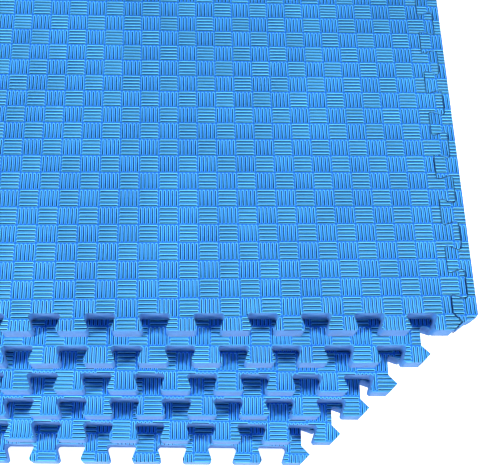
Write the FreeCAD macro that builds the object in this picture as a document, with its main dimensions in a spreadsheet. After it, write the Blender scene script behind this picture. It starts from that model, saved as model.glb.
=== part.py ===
import FreeCAD, Part
import math
import os
import Sketcher

# A fanned stack of six square foam mats whose edges interlock like a jigsaw, with one border strip
# fitted to the right edge of the top mat. Millimetres, +Z up, the front is -Y.
# The origin is the centre of the underside of the bottom mat.

os.makedirs("parts", exist_ok=True)
doc = FreeCAD.newDocument("blocking_mats")

# One mat is a square core with twelve teeth on each edge: eleven full ones, and one cut off square at
# the corner that carries a pointed key. border_width is measured from the core's edge.
SIZES = {
    "tooth_pitch": 50.8,
    "full_teeth": 11,
    "tooth_depth": 17.0,
    "tooth_inset": 4.2,
    "tip_arc_x": 11.5,
    "tip_radius": 3.0,
    "mat_thick": 22.0,
    "root_overlap": 1.0,
    "border_width": 26.0,
    "fit_gap": 0.25,
}

# The mitred end of the border strip, from its outer corner to the tongue that wraps the mat's key:
# distance out from the core's edge, and along the edge from the core's corner.
MITRE = [
    ("mitre_outer", 26.0, -2.0),
    ("mitre_step_outer", 19.0, -7.0),
    ("mitre_step_inner", 15.5, -7.5),
    ("tongue_tip", 4.5, -15.5),
    ("tongue_root", 1.5, -12.5),
]

# Where each mat's centre lies and its turn about Z in degrees, from the bottom of the stack up.
STACK = [
    ("mat_bottom", 0.0, 0.0, 0.0),
    ("mat_fifth", 29.0, 18.0, -0.1),
    ("mat_fourth", 52.0, 37.0, 0.5),
    ("mat_third", 77.0, 57.0, 0.4),
    ("mat_second", 103.0, 78.5, 0.95),
    ("mat_top", 128.5, 104.0, 1.1),
]

cells = dict(SIZES)
for name, out, along in MITRE:
    cells[name + "_out"] = out
    cells[name + "_along"] = along
for level, (name, shift_x, shift_y, turn) in enumerate(STACK):
    cells[name + "_x"] = shift_x
    cells[name + "_y"] = shift_y
    cells[name + "_level"] = level
    cells[name + "_turn"] = turn

sheet = doc.addObject("Spreadsheet::Sheet", "sizes")
for row, (alias, value) in enumerate(cells.items(), start=1):
    sheet.set("A%d" % row, alias)
    sheet.set("B%d" % row, str(value))
    sheet.setAlias("B%d" % row, alias)
doc.recompute()

pitch = sheet.tooth_pitch
depth = sheet.tooth_depth
radius = sheet.tip_radius
arc_x = sheet.tip_arc_x

# Half the core's side, and the centre lines of the first full tooth and of the corner tooth.
half_core = (sheet.full_teeth + 0.5) * pitch / 2 + sheet.tooth_inset
first_tooth = (sheet.full_teeth - 0.5) * pitch / 2
corner_tooth = (sheet.full_teeth + 0.5) * pitch / 2
HALF_CORE = "((sizes.full_teeth + 0.5) * sizes.tooth_pitch / 2 + sizes.tooth_inset)"
FIRST_TOOTH = "((sizes.full_teeth - 0.5) * sizes.tooth_pitch / 2)"
CORNER_TOOTH = "((sizes.full_teeth + 0.5) * sizes.tooth_pitch / 2)"

START, END, CENTRE = 1, 2, 3
ORIGIN = (-1, START)


def origin_feature(body, role):
    """The plane or axis of the body's own origin that has this role."""
    for feature in body.Origin.OriginFeatures:
        if feature.Role == role:
            return feature
    raise ValueError("no origin feature " + role)


def new_sketch(body, name):
    """A sketch on the body's own XY plane."""
    sketch = body.newObject("Sketcher::SketchObject", name)
    sketch.AttachmentSupport = [(origin_feature(body, "XY_Plane"), "")]
    sketch.MapMode = "FlatFace"
    return sketch


def bind(sketch, kind, first, second, value, formula):
    """A distance along X or Y from one point to another, driven by the sheet."""
    index = sketch.addConstraint(Sketcher.Constraint(kind, *first, *second, value))
    sketch.setExpression("Constraints[%d]" % index, formula)


def fix_point(sketch, point, x, x_formula, y, y_formula):
    """Place one point of the sketch from its origin."""
    bind(sketch, "DistanceX", ORIGIN, point, x, x_formula)
    bind(sketch, "DistanceY", ORIGIN, point, y, y_formula)


def add_line(sketch, start, end):
    line = Part.LineSegment(FreeCAD.Vector(*start, 0), FreeCAD.Vector(*end, 0))
    return sketch.addGeometry(line, False)


def add_polygon(sketch, corners):
    """A closed outline of straight lines through corners given as (x, x formula, y, y formula)."""
    lines = []
    for corner, following in zip(corners, corners[1:] + corners[:1]):
        lines.append(add_line(sketch, (corner[0], corner[2]), (following[0], following[2])))
    for line, following in zip(lines, lines[1:] + lines[:1]):
        sketch.addConstraint(Sketcher.Constraint("Coincident", line, END, following, START))
    for line, corner in zip(lines, corners):
        fix_point(sketch, (line, START), *corner)


def add_fillet(sketch, centre, centre_formulas, size, size_formula, angles):
    """A counter-clockwise arc with its centre and radius driven by the sheet."""
    circle = Part.Circle(FreeCAD.Vector(*centre, 0), FreeCAD.Vector(0, 0, 1), size)
    arc = sketch.addGeometry(Part.ArcOfCircle(circle, *angles), False)
    index = sketch.addConstraint(Sketcher.Constraint("Radius", arc, size))
    sketch.setExpression("Constraints[%d]" % index, size_formula)
    fix_point(sketch, (arc, CENTRE), centre[0], centre_formulas[0], centre[1], centre_formulas[1])
    return arc


def add_flank(sketch, middle, middle_formula, side, grow, grow_formula):
    """The curved side of a front tooth: root fillet, straight flank and tip fillet.

    side is +1 for the right side and -1 for the left. The flank is its own image under a half turn
    about its middle, so the gap between two teeth has exactly the shape of a tooth. grow moves the
    whole outline outward. Returns the free ends of the root fillet and of the tip fillet.
    """
    across = 2 * arc_x - pitch / 2
    along = depth - 2 * radius
    lean = math.asin(2 * radius / math.hypot(across, along)) + math.atan2(across, along)
    root_angles = (math.pi / 2, math.pi + lean) if side > 0 else (-lean, math.pi / 2)
    tip_angles = (-math.pi / 2, lean) if side > 0 else (math.pi - lean, 3 * math.pi / 2)
    root = add_fillet(
        sketch,
        (middle + side * (pitch / 2 - arc_x), -half_core - radius),
        ("%s + %d * (sizes.tooth_pitch / 2 - sizes.tip_arc_x)" % (middle_formula, side),
         "-%s - sizes.tip_radius" % HALF_CORE),
        radius - grow,
        "sizes.tip_radius - " + grow_formula,
        root_angles)
    tip = add_fillet(
        sketch,
        (middle + side * arc_x, -half_core - depth + radius),
        ("%s + %d * sizes.tip_arc_x" % (middle_formula, side),
         "-%s - sizes.tooth_depth + sizes.tip_radius" % HALF_CORE),
        radius + grow,
        "sizes.tip_radius + " + grow_formula,
        tip_angles)
    flank_end, free_end = (END, START) if side > 0 else (START, END)
    root_point = sketch.getPoint(root, flank_end)
    tip_point = sketch.getPoint(tip, flank_end)
    flank = add_line(sketch, (root_point.x, root_point.y), (tip_point.x, tip_point.y))
    sketch.addConstraint(Sketcher.Constraint("Tangent", root, flank_end, flank, START))
    sketch.addConstraint(Sketcher.Constraint("Tangent", tip, flank_end, flank, END))
    sketch.addConstraint(Sketcher.Constraint("Vertical", root, CENTRE, root, free_end))
    sketch.addConstraint(Sketcher.Constraint("Vertical", tip, CENTRE, tip, free_end))
    return (root, free_end), (tip, free_end)


def join_points(sketch, start, end):
    """A straight line between two points that the sketch already has."""
    first = sketch.getPoint(*start)
    last = sketch.getPoint(*end)
    line = add_line(sketch, (first.x, first.y), (last.x, last.y))
    sketch.addConstraint(Sketcher.Constraint("Coincident", line, START, *start))
    sketch.addConstraint(Sketcher.Constraint("Coincident", line, END, *end))


def add_back(sketch, left, right, back, back_formula):
    """Close an outline behind the core's edge, from its left free end to its right one."""
    left_point = sketch.getPoint(*left)
    right_point = sketch.getPoint(*right)
    line = add_line(sketch, (left_point.x, back), (right_point.x, back))
    for end, point in ((START, left), (END, right)):
        bind(sketch, "DistanceY", ORIGIN, (line, end), back, back_formula)
        sketch.addConstraint(Sketcher.Constraint("Vertical", line, end, *point))
        join_points(sketch, (line, end), point)


def draw_full_tooth(sketch, grow, grow_formula):
    """The first full tooth of the front edge."""
    middle = "-" + FIRST_TOOTH
    left_root, left_tip = add_flank(sketch, -first_tooth, middle, -1, grow, grow_formula)
    right_root, right_tip = add_flank(sketch, -first_tooth, middle, 1, grow, grow_formula)
    join_points(sketch, left_tip, right_tip)
    back = sheet.root_overlap - half_core
    add_back(sketch, left_root, right_root, back, "sizes.root_overlap - " + HALF_CORE)


def draw_corner_tooth(sketch, grow, grow_formula):
    """The front edge's last tooth, cut off in line with the core's side, and its pointed key."""
    left_root, left_tip = add_flank(sketch, corner_tooth, CORNER_TOOTH, -1, grow, grow_formula)
    slant = grow * math.sqrt(2)
    slant_formula = "%s * sqrt(2)" % grow_formula
    tip_x = half_core + slant - grow
    point_x = half_core + depth / 2 + slant
    tip_line = add_line(sketch, (corner_tooth, -half_core - depth - grow),
                        (tip_x, -half_core - depth - grow))
    sketch.addConstraint(Sketcher.Constraint("Coincident", tip_line, START, *left_tip))
    fix_point(sketch, (tip_line, END),
              tip_x, "%s + %s - %s" % (HALF_CORE, slant_formula, grow_formula),
              -half_core - depth - grow, "-%s - sizes.tooth_depth - %s" % (HALF_CORE, grow_formula))
    chamfer = add_line(sketch, (tip_x, -half_core - depth - grow), (point_x, -half_core - depth / 2))
    sketch.addConstraint(Sketcher.Constraint("Coincident", chamfer, START, tip_line, END))
    fix_point(sketch, (chamfer, END),
              point_x, "%s + sizes.tooth_depth / 2 + %s" % (HALF_CORE, slant_formula),
              -half_core - depth / 2, "-%s - sizes.tooth_depth / 2" % HALF_CORE)
    key_side = add_line(sketch, (point_x, -half_core - depth / 2), (half_core, -half_core + slant))
    sketch.addConstraint(Sketcher.Constraint("Coincident", key_side, START, chamfer, END))
    fix_point(sketch, (key_side, END),
              half_core, HALF_CORE, slant - half_core, "%s - %s" % (slant_formula, HALF_CORE))
    back = sheet.root_overlap - half_core
    add_back(sketch, left_root, (key_side, END), back, "sizes.root_overlap - " + HALF_CORE)


def add_pad(body, sketch):
    """Raise a sketch by the mat's thickness."""
    pad = body.newObject("PartDesign::Pad", sketch.Name + "_pad")
    pad.Profile = sketch
    pad.setExpression("Length", "sizes.mat_thick")
    return pad


def add_pocket(body, sketch):
    """Cut a sketch upward through the mat's thickness."""
    pocket = body.newObject("PartDesign::Pocket", sketch.Name + "_pocket")
    pocket.Profile = sketch
    pocket.Type = 1
    pocket.Reversed = True
    return pocket


def repeat_along_edge(pattern, body):
    """Set up a linear pattern over the full teeth of one edge."""
    pattern.Direction = (origin_feature(body, "X_Axis"), [""])
    pattern.setExpression("Length", "(sizes.full_teeth - 1) * sizes.tooth_pitch")
    pattern.setExpression("Occurrences", "sizes.full_teeth")


def repeat_on_edges(pattern, body):
    """Set up a polar pattern over the four edges of a mat."""
    pattern.Axis = (origin_feature(body, "Z_Axis"), [""])
    pattern.Angle = 360
    pattern.Occurrences = 4


def square_corners():
    """The core's four corners, counter-clockwise."""
    low = (-half_core, "-" + HALF_CORE)
    high = (half_core, HALF_CORE)
    return [low + low, high + low, high + high, low + high]


def place_body(body, mat, quarter_turn):
    """Bind the body's placement to the cells of the mat that it belongs to."""
    body.setExpression("Placement.Base.x", "sizes.%s_x * 1 mm" % mat)
    body.setExpression("Placement.Base.y", "sizes.%s_y * 1 mm" % mat)
    body.setExpression("Placement.Base.z", "sizes.%s_level * sizes.mat_thick * 1 mm" % mat)
    body.setExpression("Placement.Rotation.Angle", "(sizes.%s_turn + %d) * 1 deg" % (mat, quarter_turn))


def make_mat(name):
    """One interlocking mat."""
    body = doc.addObject("PartDesign::Body", name)
    body.Label = name
    core = new_sketch(body, name + "_core")
    add_polygon(core, square_corners())
    add_pad(body, core)
    tooth = new_sketch(body, name + "_tooth")
    draw_full_tooth(tooth, 0.0, "0")
    tooth_pad = add_pad(body, tooth)
    doc.recompute()
    teeth = body.newObject("PartDesign::MultiTransform", name + "_teeth")
    teeth.Originals = [tooth_pad]
    row_pattern = body.newObject("PartDesign::LinearPattern", name + "_row")
    edge_pattern = body.newObject("PartDesign::PolarPattern", name + "_edges")
    repeat_along_edge(row_pattern, body)
    repeat_on_edges(edge_pattern, body)
    teeth.Transformations = [row_pattern, edge_pattern]
    body.Tip = teeth
    corner = new_sketch(body, name + "_corner")
    draw_corner_tooth(corner, 0.0, "0")
    corner_pad = add_pad(body, corner)
    corners = body.newObject("PartDesign::PolarPattern", name + "_corners")
    corners.Originals = [corner_pad]
    repeat_on_edges(corners, body)
    body.Tip = corners
    place_body(body, name, 0)
    return body


def mitre_point(alias, far_end):
    """A corner of the border's mitre, at the strip's start or turned a quarter for its far end."""
    out = sheet.get(alias + "_out")
    along = sheet.get(alias + "_along")
    out_formula = "sizes.%s_out" % alias
    along_formula = "sizes.%s_along" % alias
    if far_end:
        return (half_core + out, "%s + %s" % (HALF_CORE, out_formula),
                along - half_core, "%s - %s" % (along_formula, HALF_CORE))
    return (along - half_core, "%s - %s" % (along_formula, HALF_CORE),
            -half_core - out, "-%s - %s" % (HALF_CORE, out_formula))


def strip_corners():
    """The border strip before its teeth are cut, drawn along the front edge."""
    inner = (-half_core - sheet.fit_gap, "-%s - sizes.fit_gap" % HALF_CORE)
    outer = (-half_core - sheet.border_width, "-%s - sizes.border_width" % HALF_CORE)
    far = (half_core + sheet.border_width, "%s + sizes.border_width" % HALF_CORE)
    names = [name for name, out, along in MITRE]
    corners = [mitre_point(name, False) for name in names]
    corners.append((-half_core, "-" + HALF_CORE) + inner)
    corners.append((half_core, HALF_CORE) + inner)
    corners += [mitre_point(name, True) for name in reversed(names)]
    corners.append(far + outer)
    return corners


def key_corners():
    """The pointed key beside the strip's start, widened by the clearance."""
    slant = sheet.fit_gap * math.sqrt(2)
    slant_formula = "sizes.fit_gap * sqrt(2)"
    level = (-half_core + slant, "%s - %s" % (slant_formula, HALF_CORE))
    return [
        (slant - half_core, "%s - %s" % (slant_formula, HALF_CORE), -half_core, "-" + HALF_CORE),
        (-half_core - depth / 2, "-%s - sizes.tooth_depth / 2" % HALF_CORE,
         -half_core - depth / 2 - slant, "-%s - sizes.tooth_depth / 2 - %s" % (HALF_CORE, slant_formula)),
        (-half_core - depth - slant, "-%s - sizes.tooth_depth - %s" % (HALF_CORE, slant_formula),
         -half_core, "-" + HALF_CORE),
        (-half_core, "-" + HALF_CORE) + level,
    ]


def make_border(name, mat):
    """The straight-edged strip that fills the gaps between the teeth on the right edge of a mat."""
    body = doc.addObject("PartDesign::Body", name)
    body.Label = name
    strip = new_sketch(body, name + "_strip")
    add_polygon(strip, strip_corners())
    add_pad(body, strip)
    tooth = new_sketch(body, name + "_tooth")
    draw_full_tooth(tooth, sheet.fit_gap, "sizes.fit_gap")
    tooth_pocket = add_pocket(body, tooth)
    doc.recompute()
    gaps = body.newObject("PartDesign::LinearPattern", name + "_gaps")
    gaps.Originals = [tooth_pocket]
    repeat_along_edge(gaps, body)
    body.Tip = gaps
    corner = new_sketch(body, name + "_corner")
    draw_corner_tooth(corner, sheet.fit_gap, "sizes.fit_gap")
    add_pocket(body, corner)
    key = new_sketch(body, name + "_key")
    add_polygon(key, key_corners())
    body.Tip = add_pocket(body, key)
    place_body(body, mat, 90)
    return body


bodies = [make_mat(name) for name, shift_x, shift_y, turn in STACK]
bodies.append(make_border("border_strip", STACK[-1][0]))
doc.recompute()

for item in doc.Objects:
    if "Invalid" in item.State or "Error" in item.State:
        raise RuntimeError("%s failed: %s" % (item.Name, item.State))
for body in bodies:
    if body.Shape.isNull() or not body.Shape.isValid() or len(body.Shape.Solids) != 1:
        raise RuntimeError(body.Label + " isn't one valid solid")

# A mat's area is its core and twelve teeth on each edge. A full tooth is half a pitch wide on average.
key_area = depth * depth / 4
corner_area = (pitch / 4 + sheet.tooth_inset) * depth
full_area = sheet.full_teeth * pitch / 2 * depth
mat_area = (2 * half_core) ** 2 + 4 * (full_area + corner_area + key_area)
for body in bodies[:-1]:
    expected = mat_area * sheet.mat_thick
    if abs(body.Shape.Volume - expected) > expected * 1e-6:
        raise RuntimeError("%s has the wrong volume: %.1f" % (body.Label, body.Shape.Volume))

for body in bodies:
    body.Shape.exportStep("parts/%s.step" % body.Label)
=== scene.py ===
import math

import bmesh
import bpy
import numpy as np
from mathutils import Matrix, Vector
from mathutils.geometry import delaunay_2d_cdt


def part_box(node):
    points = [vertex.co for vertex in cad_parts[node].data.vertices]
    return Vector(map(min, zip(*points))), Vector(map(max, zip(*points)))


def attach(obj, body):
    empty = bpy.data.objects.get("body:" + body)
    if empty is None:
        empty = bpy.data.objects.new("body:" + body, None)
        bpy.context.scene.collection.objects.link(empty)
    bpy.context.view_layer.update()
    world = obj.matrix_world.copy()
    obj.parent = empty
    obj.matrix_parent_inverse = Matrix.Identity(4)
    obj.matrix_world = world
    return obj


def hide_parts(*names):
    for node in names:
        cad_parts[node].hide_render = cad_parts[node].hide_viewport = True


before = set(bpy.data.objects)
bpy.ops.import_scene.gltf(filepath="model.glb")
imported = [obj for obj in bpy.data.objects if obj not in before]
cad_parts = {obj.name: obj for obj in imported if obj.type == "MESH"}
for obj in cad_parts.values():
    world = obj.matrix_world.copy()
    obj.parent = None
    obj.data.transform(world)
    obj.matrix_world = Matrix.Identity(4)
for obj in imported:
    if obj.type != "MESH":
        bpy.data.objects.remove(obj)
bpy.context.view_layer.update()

# A fanned stack of blue foam mats. Each visible mat is a grooved sheet cut to its jigsaw outline.
# Lengths are in metres. +Z is up and the front is -Y.

# ---------------------------------------------------------------- sizes of a mat and its border
TOOTH_PITCH = 0.0508
FULL_TEETH = 11
TOOTH_DEPTH = 0.017
TOOTH_INSET = 0.0042
TIP_ARC_X = 0.0115
TIP_RADIUS = 0.003
MAT_THICK = 0.022
BORDER_WIDTH = 0.026
FIT_GAP = 0.00025
ARC_STEPS = 7

HALF_CORE = (FULL_TEETH + 0.5) * TOOTH_PITCH / 2 + TOOTH_INSET
FIRST_TOOTH = (FULL_TEETH - 0.5) * TOOTH_PITCH / 2
CORNER_TOOTH = (FULL_TEETH + 0.5) * TOOTH_PITCH / 2

# The border's mitred end: distance out from the core's edge and along it from the core's corner.
MITRE = [(0.026, -0.002), (0.019, -0.007), (0.0155, -0.0075), (0.0045, -0.0155)]
# How the die rounds over the edges that it cuts: distance in and depth from the face, in rims.
ROUNDING = [(0.0, 1.0), (0.12, 0.5), (0.45, 0.15), (1.0, 0.0)]
UNDERSIDE_ROUNDING = [(1.0, 0.0), (0.3, 0.3), (0.0, 1.0)]
RIM = 0.0009
SEAM_RIM = 0.0004
# How far the soft border strip's faces stand off, and how far at its front tooth and tongue.
SEAM_LOOSE = 0.0008
FRONT_LOOSE = 0.0016
# The outline's points on the tongue's end, and on the front tooth's tip.
LOOSE_POINTS = (3, 4, 6, 7, 8)
# How far the squeezed strip bulges at half its height, which closes its seam.
SQUEEZE = 0.0002

# ---------------------------------------------------------------- sizes of the grooved top
CELL_X = 0.01944
CELL_Y = 0.0189
GROOVES = 5
GROOVE_DEEP = 0.0012
# A groove's two loops from its rim down: distance in from the cell's ends, half width, and drop.
GROOVE_RIM = (0.0003, 0.0015, 0.0)
GROOVE_WALL = (0.0010, 0.00062, 0.00035)
# Its bottom is a line, this far in from the cell's ends.
GROOVE_FLOOR_IN = 0.0017
# Where a slot starts to narrow to its pointed end, in half widths.
SLOT_TAPER = 0.6
# Points on a cell's side, as shares of its length. They read the same from both of its ends.
SIDE_STEPS = (0.0, 0.3, 0.7)
# Points nearer than this to each other are one point of the sheet.
WELD = 1e-7
# The sheet has this many cells each way, more than a mat needs.
CELLS_ACROSS = 36
# The underside stays just off the top face of the mat below.
UNDERSIDE_LIFT = 0.0001
# How far the die reaches past the foam's two faces.
CLEAR = 0.005
SHARP_DEGREES = 50
# Material slots of every piece: the moulded skin, and the foam laid open by the die.
SKIN, CUT = 0, 1

MATS = ["mat_bottom", "mat_fifth", "mat_fourth", "mat_third", "mat_second", "mat_top"]
# Where the pattern starts on each piece, in cells, and its turn in degrees: the pieces were cut
# from larger grooved sheets.
PATTERN_START = {
    "mat_top": (-0.35, 0.073, 0.6),
    "mat_second": (0.72, 0.3, 0.0),
    "mat_third": (-0.4, 0.45, 0.0),
    "mat_fourth": (-0.8, 0.45, 0.0),
    "mat_fifth": (0.95, 0.45, 0.0),
    "mat_bottom": (-0.4, 0.9, 0.0),
    "border_strip": (-0.1, 1.2, 0.0),
}


# ---------------------------------------------------------------- colours and finishes
# Height in the pattern, from a groove's bottom to the top face, against the foam's colour. The dark
# low stops are painted shade in the grooves, and the light stop near the top is a painted highlight
# on the shoulders.
SKIN_SHADE_AND_HIGHLIGHT_STOPS = [
    (0.0, (0.0, 0.015, 0.08)),
    (0.44, (0.0, 0.036, 0.17)),
    (0.62, (0.035, 0.25, 0.71)),
    (0.8, (0.25, 0.92, 1.0)),
    (1.0, (0.026, 0.222, 0.78)),
]
# Tints of the cells with their grooves along X, and across it: a painted sheen, for light that
# catches the two groove directions differently.
ALONG_SHEEN_TINT = (0.74, 0.85, 0.96)
ACROSS_SHEEN_TINT = (0.59, 0.79, 1.15)
CUT_STOPS = [(0.3, (0.034, 0.173, 0.485)), (0.7, (0.042, 0.205, 0.535))]
# A painted highlight along the top rim of the cut faces.
RIM_HIGHLIGHT_COLOUR = (0.09, 0.48, 0.90)
# How much of the rim colour a cut face takes at groove depth and at the top face, so that the
# painted highlight grows towards the top.
RIM_HIGHLIGHT_SHARES = (0.0, 0.6)
RIM_HIGHLIGHT_HEIGHTS = (0.2, 1.0)
# Noise rarely leaves these values.
NOISE_BAND = (0.3, 0.7)

# Each mottle is a noise's spot size and detail, and the two values that it runs between.
PATCHES = (0.09, 3.0, 0.93, 1.07)
GRAIN = (0.0007, 2.0, 0.94, 1.06)
WORN = (0.02, 4.0, -0.06, 0.06)
CELL_TONES = (0.95, 1.05)
PORE_TONES = (1.04, 0.9)
MARK_TONES = (0.95, 1.05)
PORE_SIZE = 0.0006
# Faint marks down the cut are noise drawn out along Z.
MARK_SIZE = 0.0016
MARK_STRETCH = (1, 1, 0.08)
CUT_PATCH_SIZE = 0.012
SKIN_BUMP_SIZE = 0.0006
BUMP_DEPTH = 0.00012

GROOVE_ROUGHNESS = 0.60
TOP_ROUGHNESS = 0.44
CUT_ROUGHNESS = (0.78, 0.92)
SKIN_SPECULAR = 0.22
CUT_SPECULAR = 0.2
CUT_SHEEN = 0.1
# Cells repeat their random tones after this many.
TONE_PERIOD = 64
TONE_SEED = 7

# ---------------------------------------------------------------- camera, surroundings and lights
LENS = 62.586
SENSOR_WIDTH = 36.0
CAMERA_PLACE = Vector((0.1803, -0.4254, 0.8916))
CAMERA_RIGHT = Vector((0.99796, -0.00146, 0.06387)).normalized()
CAMERA_BACK = Vector((-0.05959, -0.38163, 0.92239)).normalized()

FLOOR_REACH = 6.0
FLOOR_TONES = (0.9, 0.94)
FLOOR_PATCH_SIZE = 0.3
FLOOR_ROUGHNESS = 0.85
FLOOR_GLOW = 0.9
BACKDROP_RADIUS = 9.0
BACKDROP_GLOW = 1.0
WORLD_STRENGTH = 0.05
WHITE = (1, 1, 1, 1)

LIGHT_TARGET = Vector((0.1, -0.1, 0.13))
LIGHT_DISTANCE = 2.8
# Degrees to the left of the front, degrees above the floor, size and power.
LIGHTS = {
    "left": (66, 30, (0.8, 0.8), 104),
    "right": (-66, 30, (0.8, 0.8), 67),
    "front": (0, 10, (1.2, 0.4), 18),
}


# ---------------------------------------------------------------- outlines
def turned(points, angle):
    """The points turned about the origin."""
    cos_a = math.cos(angle)
    sin_a = math.sin(angle)
    return [(cos_a * x - sin_a * y, sin_a * x + cos_a * y) for x, y in points]


def arc_points(centre, radius, first, last):
    """Points along an arc, both ends included."""
    points = []
    for step in range(ARC_STEPS + 1):
        angle = first + (last - first) * step / ARC_STEPS
        points.append((centre[0] + radius * math.cos(angle), centre[1] + radius * math.sin(angle)))
    return points


def flank_points(middle, side, grow):
    """One side of a front tooth, from its root fillet to its tip fillet."""
    across = 2 * TIP_ARC_X - TOOTH_PITCH / 2
    along = TOOTH_DEPTH - 2 * TIP_RADIUS
    lean = math.asin(2 * TIP_RADIUS / math.hypot(across, along)) + math.atan2(across, along)
    root = (middle + side * (TOOTH_PITCH / 2 - TIP_ARC_X), -HALF_CORE - TIP_RADIUS)
    tip = (middle + side * TIP_ARC_X, -HALF_CORE - TOOTH_DEPTH + TIP_RADIUS)
    if side > 0:
        root_turn = (math.pi / 2, math.pi + lean)
        tip_turn = (lean, -math.pi / 2)
    else:
        root_turn = (math.pi / 2, -lean)
        tip_turn = (math.pi - lean, 3 * math.pi / 2)
    return (arc_points(root, TIP_RADIUS - grow, *root_turn)
            + arc_points(tip, TIP_RADIUS + grow, *tip_turn))


def edge_points(grow):
    """The front edge from its first tooth to the core's right corner, left to right."""
    points = []
    for tooth in range(FULL_TEETH):
        middle = tooth * TOOTH_PITCH - FIRST_TOOTH
        points += flank_points(middle, -1, grow)
        points += reversed(flank_points(middle, 1, grow))
    points += flank_points(CORNER_TOOTH, -1, grow)
    slant = grow * math.sqrt(2)
    points.append((HALF_CORE + slant - grow, -HALF_CORE - TOOTH_DEPTH - grow))
    points.append((HALF_CORE + TOOTH_DEPTH / 2 + slant, -HALF_CORE - TOOTH_DEPTH / 2))
    return points


def inset(outline, distance):
    """A counter-clockwise outline moved inward, by one distance or by one for each point."""
    points = np.array(outline)
    distance = np.broadcast_to(distance, len(points))[:, None]
    ahead = np.roll(points, -1, axis=0) - points
    ahead /= np.linalg.norm(ahead, axis=1)[:, None]
    inward = np.column_stack([-ahead[:, 1], ahead[:, 0]])
    both = inward + np.roll(inward, 1, axis=0)
    share = 1 + np.sum(inward * np.roll(inward, 1, axis=0), axis=1)
    return (points + both / share[:, None] * distance).tolist()


def mat_outline():
    """A mat's outline, counter-clockwise about its centre."""
    outline = []
    for quarter in range(4):
        outline += turned(edge_points(0.0) + [(HALF_CORE, -HALF_CORE)], quarter * math.pi / 2)
    return outline


def border_outline():
    """The border strip's outline, and how far each of its points stands off.

    It is drawn along the front edge and turned to the right one.
    """
    slant = FIT_GAP * math.sqrt(2)
    corner = -HALF_CORE
    # The tongue's end face runs straight across to the key's slanted side.
    tongue_out, tongue_along = MITRE[-1]
    across = (tongue_out - tongue_along - TOOTH_DEPTH - slant) / 2
    mitre = MITRE + [(tongue_out - across, tongue_along + across)]
    inner = [(corner + along, corner - out) for out, along in mitre]
    inner.append((corner - TOOTH_DEPTH / 2, corner - TOOTH_DEPTH / 2 - slant))
    inner.append((corner + slant - FIT_GAP, corner - FIT_GAP))
    inner += edge_points(FIT_GAP)[:-1]
    inner += [(-corner + out, corner + along) for out, along in reversed(mitre)]
    inner.append((-corner + BORDER_WIDTH, corner - BORDER_WIDTH))
    loose = [SEAM_LOOSE] * len(inner)
    for point in LOOSE_POINTS:
        loose[point] = FRONT_LOOSE
    return turned(inner[::-1], math.pi / 2), loose[::-1]


# ---------------------------------------------------------------- the grooved sheet
def slot_loop(length, middle, end_in, half):
    """A hexagon: a slot along X with pointed ends."""
    x0, x1 = end_in, length - end_in
    taper = SLOT_TAPER * half
    return [
        (x0 + taper, middle - half), (x1 - taper, middle - half), (x1, middle),
        (x1 - taper, middle + half), (x0 + taper, middle + half), (x0, middle),
    ]


def cell_template(length, width):
    """One pattern cell with its grooves along X: points with heights from the top, and triangles."""
    points = []
    heights = []
    edges = []

    def add_loop(loop, height):
        start = len(points)
        points.extend(loop)
        heights.extend([height] * len(loop))
        edges.extend((start + k, start + (k + 1) % len(loop)) for k in range(len(loop)))

    rim = [(t, 0.0) for t in SIDE_STEPS]
    rim += [(1.0, t) for t in SIDE_STEPS]
    rim += [(1.0 - t, 1.0) for t in SIDE_STEPS]
    rim += [(0.0, 1.0 - t) for t in SIDE_STEPS]
    add_loop([(x * length, y * width) for x, y in rim], 0.0)
    for k in range(GROOVES):
        middle = (k + 0.5) * width / GROOVES
        for end_in, half, drop in (GROOVE_RIM, GROOVE_WALL):
            add_loop(slot_loop(length, middle, end_in, half), -drop)
        add_loop([(GROOVE_FLOOR_IN, middle), (length - GROOVE_FLOOR_IN, middle)], -GROOVE_DEEP)
    found = delaunay_2d_cdt([Vector(p) for p in points], edges, [], 0, 1e-9)
    place = np.array([list(p) for p in found[0]])
    height = np.array([heights[origin[0]] for origin in found[3]])
    faces = np.array([list(face) for face in found[2]])
    return np.column_stack([place, height]), faces


def groove_pattern():
    """The whole grooved top as one welded sheet about the origin: points and triangles."""
    along_x, along_x_faces = cell_template(CELL_X, CELL_Y)
    along_y, along_y_faces = cell_template(CELL_Y, CELL_X)
    along_y = along_y[:, [1, 0, 2]]
    along_y_faces = along_y_faces[:, ::-1]
    points = []
    faces = []
    count = 0
    for i in range(CELLS_ACROSS):
        for j in range(CELLS_ACROSS):
            if (i + j) % 2 == 0:
                cell, cell_faces = along_x, along_x_faces
            else:
                cell, cell_faces = along_y, along_y_faces
            corner = ((i - CELLS_ACROSS // 2) * CELL_X, (j - CELLS_ACROSS // 2) * CELL_Y, 0.0)
            points.append(cell + np.array(corner))
            faces.append(cell_faces + count)
            count += len(cell)
    points = np.concatenate(points)
    faces = np.concatenate(faces)
    key = np.round(points / WELD).astype(np.int64)
    _, first, group = np.unique(key, axis=0, return_index=True, return_inverse=True)
    return points[first], group.reshape(-1)[faces]


def boundary_loop(faces):
    """The open edge of a sheet of triangles as an ordered loop of point numbers."""
    ahead = np.concatenate([faces[:, [0, 1]], faces[:, [1, 2]], faces[:, [2, 0]]])
    have = set(map(tuple, ahead.tolist()))
    after = {a: b for a, b in have if (b, a) not in have}
    start = min(after)
    loop = [start]
    while after[loop[-1]] != start:
        loop.append(after[loop[-1]])
    return loop


def slab_mesh(name, points, faces, bottom):
    """A grooved sheet closed into a slab with a flat underside, and each face's material."""
    loop = boundary_loop(faces)
    ring = points[loop].copy()
    ring[:, 2] = bottom
    centre = np.array([[0.0, 0.0, bottom]])
    count = len(points)
    size = len(loop)
    all_points = np.concatenate([points, ring, centre])
    closing = []
    for k in range(size):
        follow = (k + 1) % size
        closing.append((loop[follow], loop[k], count + k))
        closing.append((loop[follow], count + k, count + follow))
        closing.append((count + follow, count + k, count + size))
    all_faces = faces.tolist() + closing
    mesh = bpy.data.meshes.new(name)
    mesh.from_pydata(all_points.tolist(), [], all_faces)
    surfaces = [SKIN] * len(faces) + [CUT] * len(closing)
    return mesh, surfaces


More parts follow.
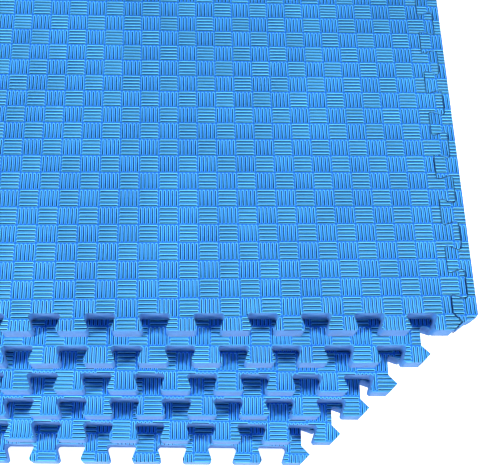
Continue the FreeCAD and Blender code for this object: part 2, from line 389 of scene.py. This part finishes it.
def die_mesh(name, outline, rims, loose=None):
    """The shape that the die cuts: a prism over the outline, rounded in at the foam's two faces.

    A piece squeezed into place stands off at its two faces, and bulges between them.
    """
    rims = np.array(rims)
    inward = np.zeros(len(outline)) if loose is None else np.array(loose)
    levels = [(inset(outline, inward + rims), -CLEAR)]
    for share, down in UNDERSIDE_ROUNDING:
        levels.append((inset(outline, inward + rims * share), UNDERSIDE_LIFT + rims * down))
    if loose is not None:
        levels.append((inset(outline, -SQUEEZE), MAT_THICK / 2))
    for share, down in ROUNDING:
        levels.append((inset(outline, inward + rims * share), MAT_THICK - rims * down))
    levels.append((inset(outline, inward + rims), MAT_THICK + CLEAR))
    count = len(outline)
    points = np.concatenate([
        np.column_stack([loop, np.broadcast_to(height, count)]) for loop, height in levels
    ])
    top = (len(levels) - 1) * count
    faces = [list(range(count))[::-1], [top + k for k in range(count)]]
    surfaces = [CUT, CUT]
    for level in range(len(levels) - 1):
        low = level * count
        for k in range(count):
            follow = (k + 1) % count
            faces.append([low + k, low + follow, low + count + follow, low + count + k])
            surfaces.append(CUT)
    mesh = bpy.data.meshes.new(name)
    mesh.from_pydata(points.tolist(), [], faces)
    return mesh, surfaces


def add_object(name, data):
    """A new object in the scene, from a mesh, a camera or a light."""
    added = bpy.data.objects.new(name, data)
    bpy.context.scene.collection.objects.link(added)
    return added


def cut_to(piece, cutter):
    """Keep only what of the piece lies inside the cutter, and apply it."""
    modifier = piece.modifiers.new("outline", "BOOLEAN")
    modifier.operation = "INTERSECT"
    modifier.solver = "MANIFOLD"
    modifier.object = cutter
    bpy.context.view_layer.update()
    graph = bpy.context.evaluated_depsgraph_get()
    mesh = bpy.data.meshes.new_from_object(piece.evaluated_get(graph))
    piece.modifiers.clear()
    old = piece.data
    piece.data = mesh
    bpy.data.meshes.remove(old)
    cutter_mesh = cutter.data
    bpy.data.objects.remove(cutter)
    bpy.data.meshes.remove(cutter_mesh)


def mat_pose(node):
    """Centre and turn of a mat, from its CAD node.

    The point farthest out is where the corner tooth's tip line meets the key's slanted side.
    """
    points = np.array([v.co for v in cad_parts[node].data.vertices])
    low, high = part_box(node)
    centre = (low + high) / 2
    flat = points[:, :2] - np.array(centre[:2])
    reach = np.hypot(flat[:, 0], flat[:, 1])
    right_front = (flat[:, 0] > 0) & (flat[:, 1] < 0)
    best = np.argmax(np.where(right_front, reach, 0.0))
    turn = math.atan2(flat[best, 1], flat[best, 0]) + math.atan2(HALF_CORE + TOOTH_DEPTH, HALF_CORE)
    return (centre[0], centre[1], low[2]), turn


def flat_turn(points, degrees):
    """An array of points turned about Z."""
    cos_a = math.cos(math.radians(degrees))
    sin_a = math.sin(math.radians(degrees))
    return points @ np.array([[cos_a, sin_a, 0], [-sin_a, cos_a, 0], [0, 0, 1]])


def add_attribute(mesh, name, domain, values):
    """Store one number for each point or face."""
    layer = mesh.attributes.new(name, "FLOAT", domain)
    layer.data.foreach_set("value", values.astype(np.float32))


def mark_pattern(mesh, start):
    """Note for the materials each point's height in the pattern, and each face's turn and tone."""
    shift_x, shift_y, turn = start
    points = np.empty(len(mesh.vertices) * 3, np.float32)
    mesh.vertices.foreach_get("co", points)
    height = (points.reshape(-1, 3)[:, 2] - MAT_THICK) / GROOVE_DEEP + 1
    add_attribute(mesh, "pattern_height", "POINT", np.clip(height, 0, 1))
    centres = np.empty(len(mesh.polygons) * 3, np.float32)
    mesh.polygons.foreach_get("center", centres)
    centres = flat_turn(centres.reshape(-1, 3), -turn)
    column = np.floor(centres[:, 0] / CELL_X - shift_x).astype(int)
    row = np.floor(centres[:, 1] / CELL_Y - shift_y).astype(int)
    add_attribute(mesh, "cell_turn", "FACE", (column + row) % 2)
    tones = np.random.default_rng(TONE_SEED).random((TONE_PERIOD, TONE_PERIOD))
    add_attribute(mesh, "cell_tone", "FACE", tones[column % TONE_PERIOD, row % TONE_PERIOD])


def make_piece(name, outline, rims, pose, start, pattern, loose=None):
    """One grooved foam piece, in place."""
    points, faces = pattern
    shift_x, shift_y, pattern_turn = start
    shift = np.array([shift_x * CELL_X, shift_y * CELL_Y, MAT_THICK])
    moved = flat_turn(points + shift, pattern_turn)
    slab, slab_surfaces = slab_mesh(name, moved, faces, UNDERSIDE_LIFT)
    die, die_surfaces = die_mesh(name + "_die", outline, rims, loose)
    for mesh, surfaces in ((slab, slab_surfaces), (die, die_surfaces)):
        for material in (foam_skin, foam_cut):
            mesh.materials.append(material)
        mesh.polygons.foreach_set("material_index", surfaces)
    piece = add_object(name, slab)
    cut_to(piece, add_object(name + "_die", die))
    mark_pattern(piece.data, start)
    place, turn = pose
    piece.data.transform(Matrix.Translation(place) @ Matrix.Rotation(turn, 4, "Z"))
    piece.data.polygons.foreach_set("use_smooth", [True] * len(piece.data.polygons))
    piece.data.set_sharp_from_angle(angle=math.radians(SHARP_DEGREES))
    return piece


# ---------------------------------------------------------------- materials
class Material:
    """A node material with short calls for the nodes used here."""

    def __init__(self, name):
        self.material = bpy.data.materials.new(name)
        self.material.use_nodes = True
        self.tree = self.material.node_tree
        self.shader = self.tree.nodes["Principled BSDF"]

    def feed(self, socket, value):
        """Link a socket to another, or set its number or colour."""
        if isinstance(value, bpy.types.NodeSocket):
            self.tree.links.new(value, socket)
        else:
            socket.default_value = value

    def attribute(self, name):
        """The number that the mesh stores under this name."""
        node = self.tree.nodes.new("ShaderNodeAttribute")
        node.attribute_name = name
        return node.outputs["Fac"]

    def place(self):
        """Place in the object's own frame."""
        return self.tree.nodes.new("ShaderNodeTexCoord").outputs["Object"]

    def noise(self, size, detail=2.0, stretch=(1, 1, 1)):
        """Soft noise from 0 to 1 with spots of about this size in metres."""
        mapping = self.tree.nodes.new("ShaderNodeMapping")
        self.feed(mapping.inputs["Vector"], self.place())
        mapping.inputs["Scale"].default_value = stretch
        node = self.tree.nodes.new("ShaderNodeTexNoise")
        self.feed(node.inputs["Vector"], mapping.outputs["Vector"])
        node.inputs["Scale"].default_value = 1 / size
        node.inputs["Detail"].default_value = detail
        return node.outputs["Fac"]

    def pores(self, size):
        """Distance from the middles of small foam cells."""
        node = self.tree.nodes.new("ShaderNodeTexVoronoi")
        self.feed(node.inputs["Vector"], self.place())
        node.inputs["Scale"].default_value = 1 / size
        return node.outputs["Distance"]

    def ramp(self, value, stops):
        """The colour that a number has between stops."""
        node = self.tree.nodes.new("ShaderNodeValToRGB")
        elements = node.color_ramp.elements
        while len(elements) < len(stops):
            elements.new(1.0)
        for element, (position, colour) in zip(elements, stops):
            element.position = position
            element.color = (*colour, 1)
        self.feed(node.inputs["Fac"], value)
        return node.outputs["Color"]

    def spread(self, value, low, high, start=0.0, end=1.0):
        """A number that runs from start to end, made to run from low to high."""
        node = self.tree.nodes.new("ShaderNodeMapRange")
        self.feed(node.inputs["Value"], value)
        node.inputs["From Min"].default_value = start
        node.inputs["From Max"].default_value = end
        node.inputs["To Min"].default_value = low
        node.inputs["To Max"].default_value = high
        return node.outputs["Result"]

    def maths(self, operation, first, second):
        """One sum or product of two numbers."""
        node = self.tree.nodes.new("ShaderNodeMath")
        node.operation = operation
        self.feed(node.inputs[0], first)
        self.feed(node.inputs[1], second)
        return node.outputs["Value"]

    def mix(self, share, first, second, blend="MIX"):
        """Mix two colours."""
        node = self.tree.nodes.new("ShaderNodeMix")
        node.data_type = "RGBA"
        node.blend_type = blend
        self.feed(node.inputs["Factor"], share)
        self.feed(node.inputs[6], first)
        self.feed(node.inputs[7], second)
        return node.outputs[2]

    def shade(self, colour, value):
        """Multiply a colour by a number."""
        node = self.tree.nodes.new("ShaderNodeVectorMath")
        node.operation = "SCALE"
        self.feed(node.inputs[0], colour)
        self.feed(node.inputs["Scale"], value)
        return node.outputs["Vector"]

    def mottle(self, size, detail, low, high):
        """Soft noise that runs between two numbers."""
        return self.spread(self.noise(size, detail), low, high, *NOISE_BAND)

    def bump(self, height, depth):
        """Fine relief, too small for the mesh."""
        node = self.tree.nodes.new("ShaderNodeBump")
        node.inputs["Strength"].default_value = 1.0
        node.inputs["Distance"].default_value = depth
        self.feed(node.inputs["Height"], height)
        self.feed(self.shader.inputs["Normal"], node.outputs["Normal"])


def make_skin():
    """Moulded foam skin: painted shade in the grooves, painted highlights on the shoulders, and a
    colour that differs by cell, partly a painted sheen by the grooves' direction and partly a random
    tone.
    """
    skin = Material("foam_skin")
    height = skin.attribute("pattern_height")
    # Painted shade darkens the grooves and a painted highlight lightens their shoulders, by height
    # in the pattern.
    colour = skin.ramp(height, SKIN_SHADE_AND_HIGHLIGHT_STOPS)
    # Painted sheen: the cells are tinted apart by the direction of their grooves.
    turned_sheen_tint = skin.mix(skin.attribute("cell_turn"), (*ALONG_SHEEN_TINT, 1), (*ACROSS_SHEEN_TINT, 1))
    colour = skin.mix(1.0, colour, turned_sheen_tint, "MULTIPLY")
    cells = skin.spread(skin.attribute("cell_tone"), *CELL_TONES)
    tone = skin.maths("MULTIPLY", skin.mottle(*PATCHES), cells)
    tone = skin.maths("MULTIPLY", tone, skin.mottle(*GRAIN))
    skin.feed(skin.shader.inputs["Base Color"], skin.shade(colour, tone))
    rough = skin.spread(height, GROOVE_ROUGHNESS, TOP_ROUGHNESS)
    skin.feed(skin.shader.inputs["Roughness"], skin.maths("ADD", rough, skin.mottle(*WORN)))
    skin.shader.inputs["Specular IOR Level"].default_value = SKIN_SPECULAR
    skin.bump(skin.noise(SKIN_BUMP_SIZE, 3.0), BUMP_DEPTH)
    return skin.material


def make_cut():
    """Foam laid open by the die: matt, paler, finely pored, with faint marks down the cut, and a
    painted highlight along its top rim.
    """
    cut = Material("foam_cut")
    pores = cut.pores(PORE_SIZE)
    marks = cut.noise(MARK_SIZE, 2.0, MARK_STRETCH)
    colour = cut.ramp(cut.noise(CUT_PATCH_SIZE, 4.0), CUT_STOPS)
    # Painted highlight: the cut face lightens towards the rim of the top face.
    rim = cut.spread(cut.attribute("pattern_height"), *RIM_HIGHLIGHT_SHARES, *RIM_HIGHLIGHT_HEIGHTS)
    colour = cut.mix(rim, colour, (*RIM_HIGHLIGHT_COLOUR, 1))
    pore_tone = cut.spread(pores, *PORE_TONES)
    mark_tone = cut.spread(marks, *MARK_TONES, *NOISE_BAND)
    tone = cut.maths("MULTIPLY", pore_tone, mark_tone)
    cut.feed(cut.shader.inputs["Base Color"], cut.shade(colour, tone))
    cut.feed(cut.shader.inputs["Roughness"], cut.spread(marks, *CUT_ROUGHNESS))
    cut.shader.inputs["Specular IOR Level"].default_value = CUT_SPECULAR
    cut.shader.inputs["Sheen Weight"].default_value = CUT_SHEEN
    cut.bump(cut.maths("ADD", pores, marks), BUMP_DEPTH)
    return cut.material


foam_skin = make_skin()
foam_cut = make_cut()


# ---------------------------------------------------------------- pieces
pattern = groove_pattern()
outline = mat_outline()
rims = [RIM] * len(outline)
# The edge that the border strip is pressed against has a tighter rim.
seam_rims = list(rims)
seam_rims[len(outline) // 4:len(outline) // 2] = [SEAM_RIM] * (len(outline) // 4)
for node in MATS:
    piece = make_piece(node + "_foam", outline, seam_rims if node == "mat_top" else rims,
                       mat_pose(node), PATTERN_START[node], pattern)
    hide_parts(node)
    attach(piece, node)
strip, strip_loose = border_outline()
border = make_piece("border_strip_foam", strip, [SEAM_RIM] * len(strip), mat_pose("mat_top"),
                    PATTERN_START["border_strip"], pattern, strip_loose)
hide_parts("border_strip")
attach(border, "border_strip")

# ---------------------------------------------------------------- camera
camera_data = bpy.data.cameras.new("camera")
camera_data.sensor_width = SENSOR_WIDTH
camera_data.lens = LENS
camera = add_object("camera", camera_data)
bpy.context.scene.camera = camera
camera_up = CAMERA_BACK.cross(CAMERA_RIGHT).normalized()
camera_right = camera_up.cross(CAMERA_BACK)
turn = Matrix((camera_right, camera_up, CAMERA_BACK)).transposed()
camera.matrix_world = Matrix.Translation(CAMERA_PLACE) @ turn.to_4x4()

# ---------------------------------------------------------------- floor and backdrop
floor_mesh = bpy.data.meshes.new("floor")
floor_corners = [(-1, -1), (1, -1), (1, 1), (-1, 1)]
floor_mesh.from_pydata([(x * FLOOR_REACH, y * FLOOR_REACH, 0) for x, y in floor_corners], [],
                       [(0, 1, 2, 3)])
floor = add_object("floor", floor_mesh)
floor_look = Material("floor")
floor_tone = floor_look.spread(floor_look.noise(FLOOR_PATCH_SIZE, 3.0), *FLOOR_TONES)
floor_look.feed(floor_look.shader.inputs["Base Color"], floor_look.shade((1, 1, 1), floor_tone))
floor_look.shader.inputs["Roughness"].default_value = FLOOR_ROUGHNESS
floor_look.shader.inputs["Emission Color"].default_value = WHITE
floor_look.shader.inputs["Emission Strength"].default_value = FLOOR_GLOW
floor_mesh.materials.append(floor_look.material)

# A pale backdrop all round, which only the camera sees.
backdrop_mesh = bpy.data.meshes.new("backdrop")
ball = bmesh.new()
bmesh.ops.create_uvsphere(ball, u_segments=48, v_segments=24, radius=BACKDROP_RADIUS)
ball.to_mesh(backdrop_mesh)
ball.free()
backdrop = add_object("backdrop", backdrop_mesh)
backdrop_look = Material("backdrop")
backdrop_look.shader.inputs["Base Color"].default_value = (0, 0, 0, 1)
backdrop_look.shader.inputs["Specular IOR Level"].default_value = 0.0
backdrop_look.shader.inputs["Emission Color"].default_value = WHITE
backdrop_look.shader.inputs["Emission Strength"].default_value = BACKDROP_GLOW
backdrop_mesh.materials.append(backdrop_look.material)
backdrop.visible_diffuse = False
backdrop.visible_glossy = False
backdrop.visible_transmission = False
backdrop.visible_shadow = False

# ---------------------------------------------------------------- light
world = bpy.data.worlds.new("world")
bpy.context.scene.world = world
world.use_nodes = True
background = world.node_tree.nodes["Background"]
background.inputs["Color"].default_value = WHITE
background.inputs["Strength"].default_value = WORLD_STRENGTH


def add_area(name, azimuth, elevation, size, power):
    """A soft box aimed at the stack, in degrees to the left of the front and above the floor."""
    azimuth = math.radians(azimuth)
    elevation = math.radians(elevation)
    towards = Vector((
        -math.sin(azimuth) * math.cos(elevation),
        -math.cos(azimuth) * math.cos(elevation),
        math.sin(elevation),
    ))
    light = bpy.data.lights.new(name, "AREA")
    light.shape = "RECTANGLE"
    light.size, light.size_y = size
    light.energy = power
    lamp = add_object(name, light)
    lamp.location = LIGHT_TARGET + LIGHT_DISTANCE * towards
    lamp.rotation_euler = (-towards).to_track_quat("-Z", "Y").to_euler()


for name, settings in LIGHTS.items():
    add_area(name, *settings)

bpy.context.scene.view_settings.view_transform = "Standard"
